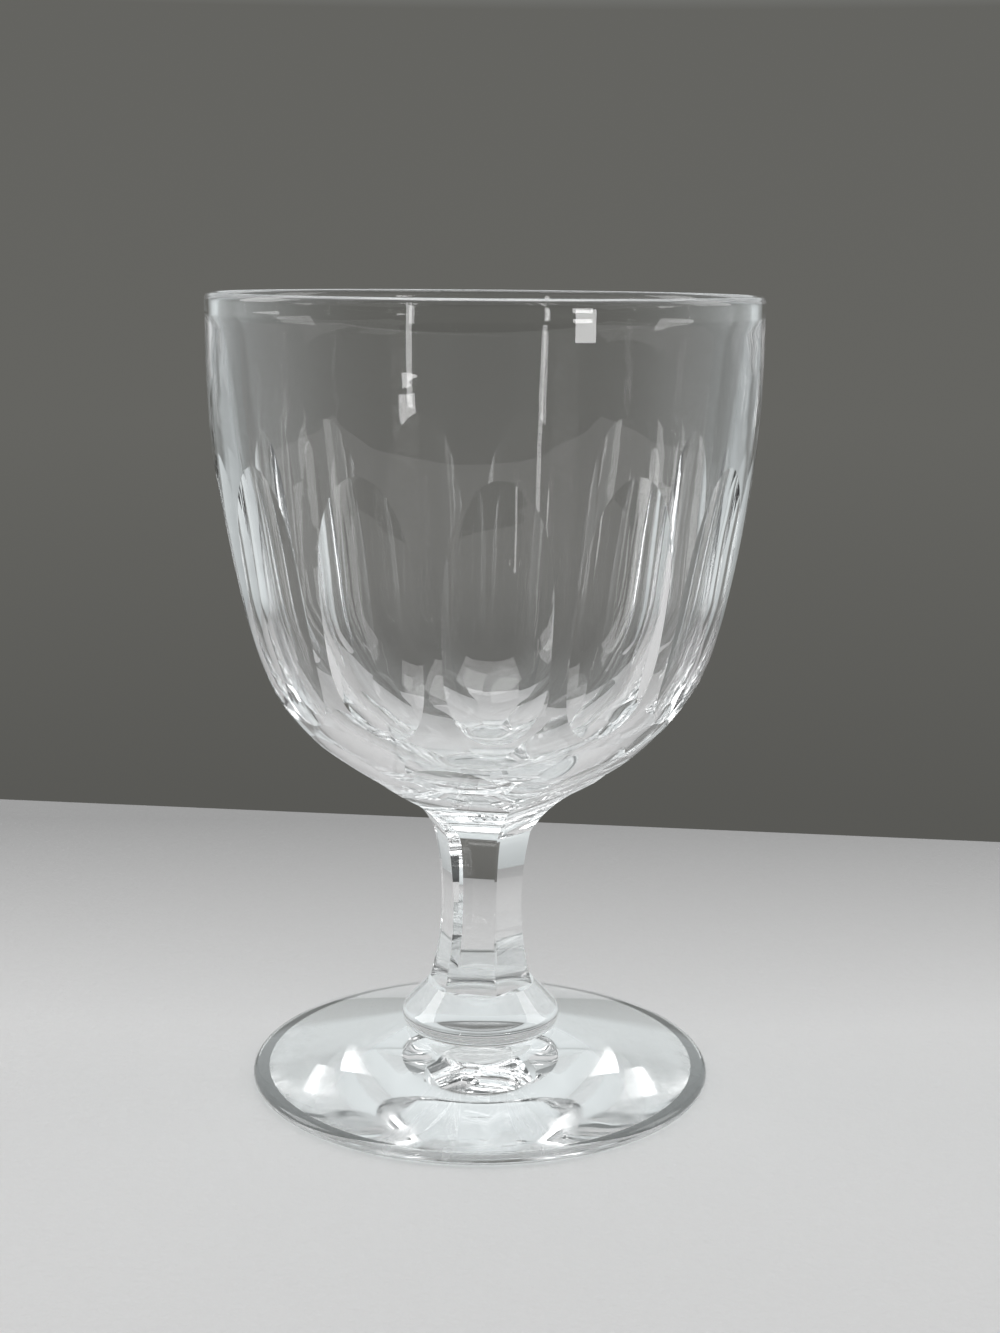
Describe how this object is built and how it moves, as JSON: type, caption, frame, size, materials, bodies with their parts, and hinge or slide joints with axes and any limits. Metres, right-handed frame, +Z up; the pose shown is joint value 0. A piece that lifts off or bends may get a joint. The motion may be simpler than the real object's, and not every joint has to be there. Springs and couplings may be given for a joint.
{
  "type": "rummer",
  "caption": "Short-stemmed drinking glass in one piece: deep round bowl with long hollow ovals cut round its side, faceted stem, round collar and broad foot.",
  "frame": {"origin": "on the table, under the middle of the foot", "axes": "+Z up along the glass's own axis; -Y is the side that faces the viewer"},
  "size_m": [0.09, 0.09, 0.133],
  "materials": {
    "glass": "clear colourless lead glass, polished, with ground hollows and flats"
  },
  "bodies": {
    "root": {"rummer": "glass"}
  },
  "joints": []
}
